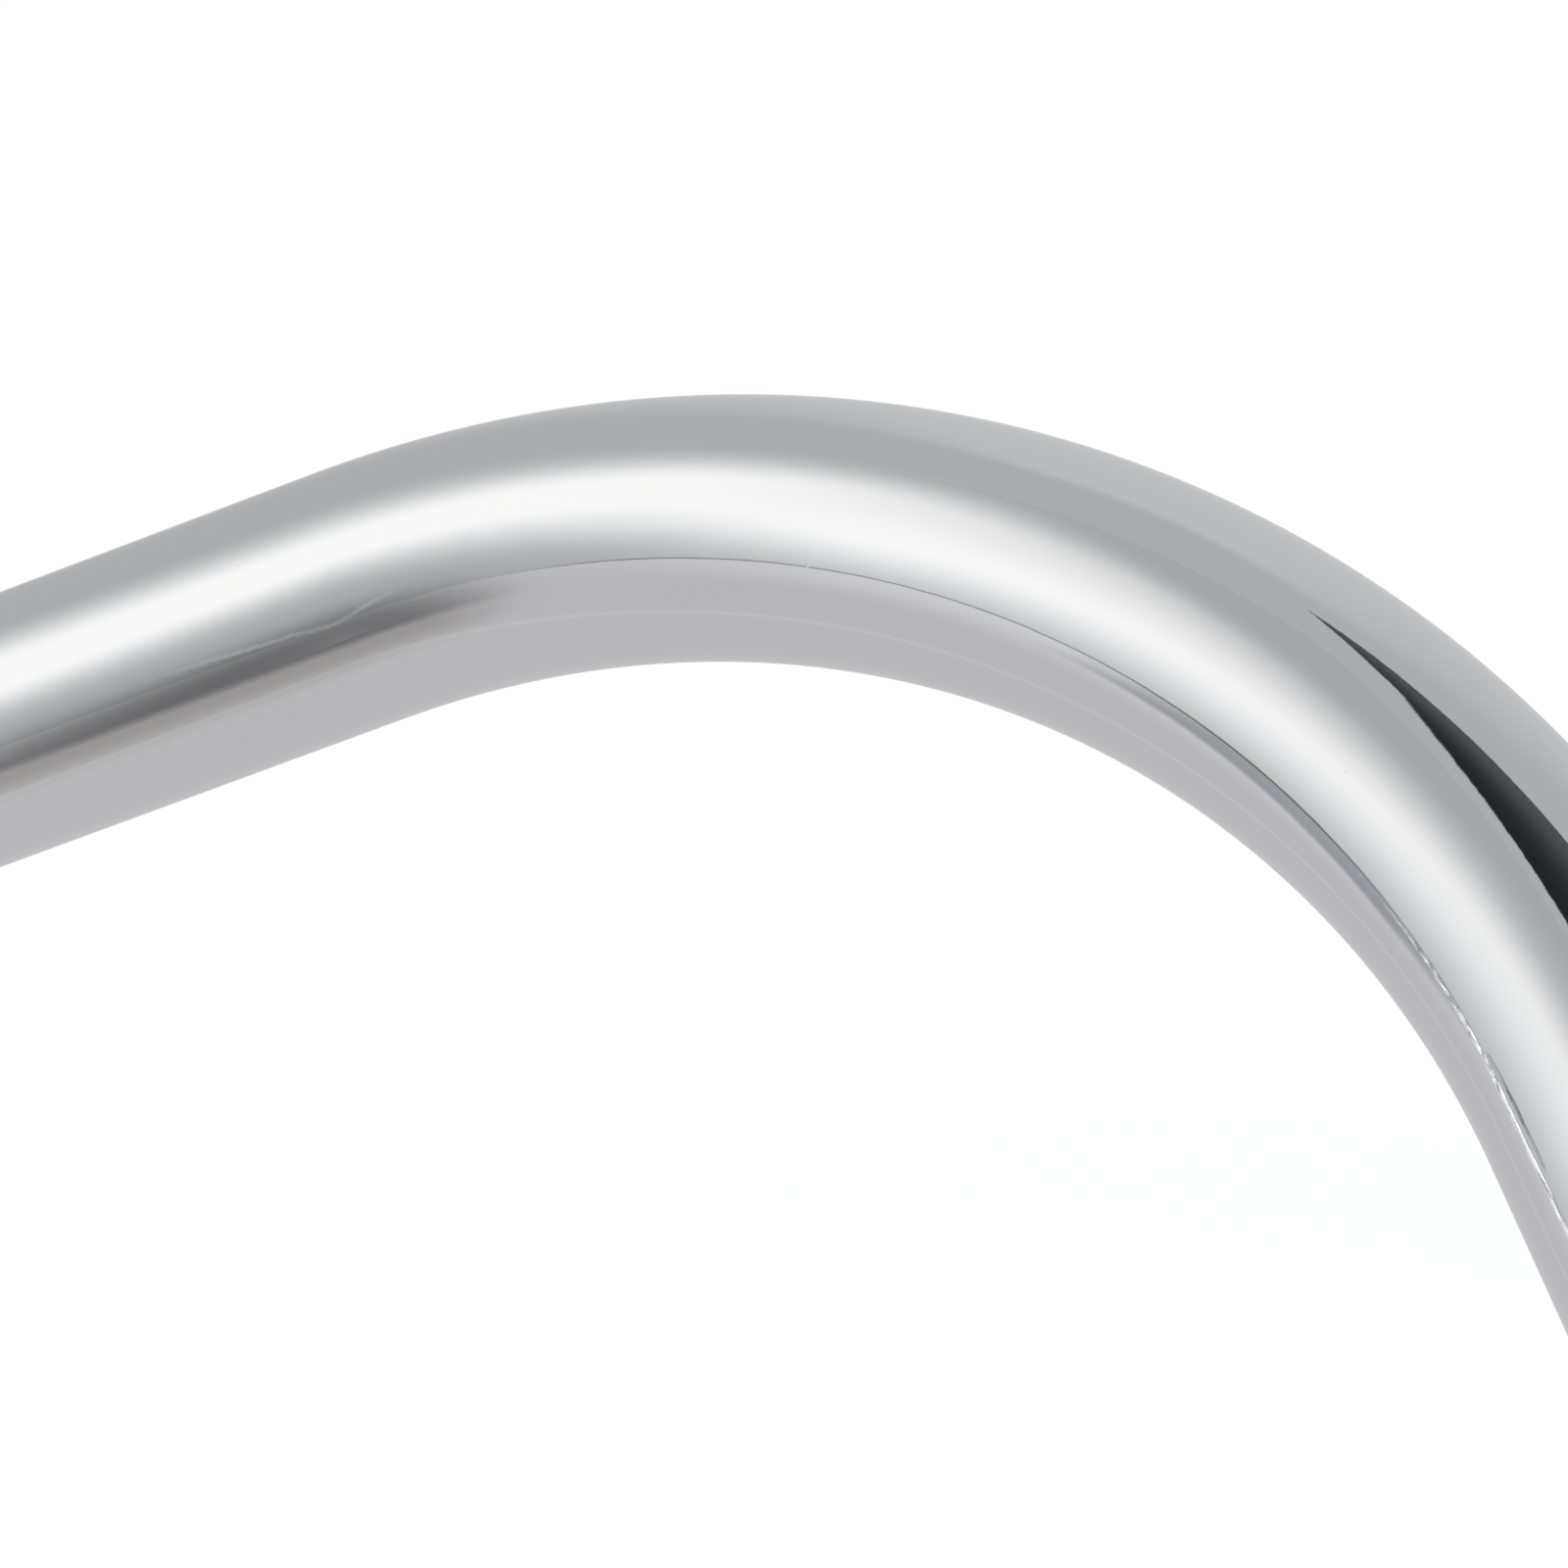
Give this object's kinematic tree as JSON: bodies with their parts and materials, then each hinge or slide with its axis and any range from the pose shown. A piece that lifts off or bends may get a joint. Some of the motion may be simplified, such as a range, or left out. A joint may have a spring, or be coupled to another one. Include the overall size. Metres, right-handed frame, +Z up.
{
  "type": "motorcycle handlebar",
  "caption": "Chromed pull-back motorcycle handlebar: a twice-bent round tube held in riser clamps, with a screwed-in weight in each open end.",
  "frame": {"origin": "on the top face of the fork's yoke, midway between the two riser bases", "axes": "+X towards the rider's left along the clamped middle of the tube, +Y towards the rider, +Z up from the yoke; the machine's front is -Y"},
  "size_m": [0.8852, 0.2185, 0.2235],
  "materials": {
    "chrome_plate": "mirror-polished chrome plate",
    "zinc_steel": "bright zinc plate on machined steel",
    "black_rubber": "matt moulded rubber",
    "brass": "bare turned brass"
  },
  "bodies": {
    "clamps": {"left_riser_body": "chrome_plate", "left_riser_cap": "chrome_plate", "left_cap_screw_front": "zinc_steel", "left_cap_washer_front": "zinc_steel", "left_cap_screw_rear": "zinc_steel", "left_cap_washer_rear": "zinc_steel", "left_riser_washer": "zinc_steel", "left_riser_lock_washer": "zinc_steel", "left_riser_bolt": "zinc_steel", "right_riser_body": "chrome_plate", "right_riser_cap": "chrome_plate", "right_cap_screw_front": "zinc_steel", "right_cap_washer_front": "zinc_steel", "right_cap_screw_rear": "zinc_steel", "right_cap_washer_rear": "zinc_steel", "right_riser_washer": "zinc_steel", "right_riser_lock_washer": "zinc_steel", "right_riser_bolt": "zinc_steel"},
    "bar": {"handlebar_tube": "chrome_plate", "left_end_weight": "chrome_plate", "left_end_seal": "black_rubber", "left_plug_washer": "zinc_steel", "left_plug_sleeve": "black_rubber", "right_end_weight": "chrome_plate", "right_end_seal": "black_rubber", "right_plug_washer": "zinc_steel", "right_plug_sleeve": "black_rubber"},
    "left_end_screw": {"left_end_screw": "zinc_steel"},
    "left_wedge_nut": {"left_wedge_nut": "brass"},
    "right_end_screw": {"right_end_screw": "zinc_steel"},
    "right_wedge_nut": {"right_wedge_nut": "brass"}
  },
  "joints": [
    {"name": "handlebar_tilt", "type": "hinge", "parent": "clamps", "child": "bar", "pos_m": [0, 0, 0.046], "axis": [1, 0, 0], "range_deg": [-20, 20]},
    {"name": "left_end_screw_turn", "type": "hinge", "parent": "bar", "child": "left_end_screw", "pos_m": [0.41102, 0.15585, 0.10239], "axis": [0.6349, 0.6878, -0.3519], "range_deg": [0, 1440]},
    {"name": "left_wedge_nut_travel", "type": "slide", "parent": "bar", "child": "left_wedge_nut", "axis": [-0.6349, -0.6878, 0.3519], "range_m": [0, 0.0042]},
    {"name": "right_end_screw_turn", "type": "hinge", "parent": "bar", "child": "right_end_screw", "pos_m": [-0.41102, 0.15585, 0.10239], "axis": [-0.6349, 0.6878, -0.3519], "range_deg": [0, 1440]},
    {"name": "right_wedge_nut_travel", "type": "slide", "parent": "bar", "child": "right_wedge_nut", "axis": [0.6349, -0.6878, 0.3519], "range_m": [0, 0.0042]}
  ],
  "couplings": [
    {"joint": "left_wedge_nut_travel", "follows": "left_end_screw_turn", "m_per_rad": 0.00015915},
    {"joint": "right_wedge_nut_travel", "follows": "right_end_screw_turn", "m_per_rad": 0.00015915}
  ]
}
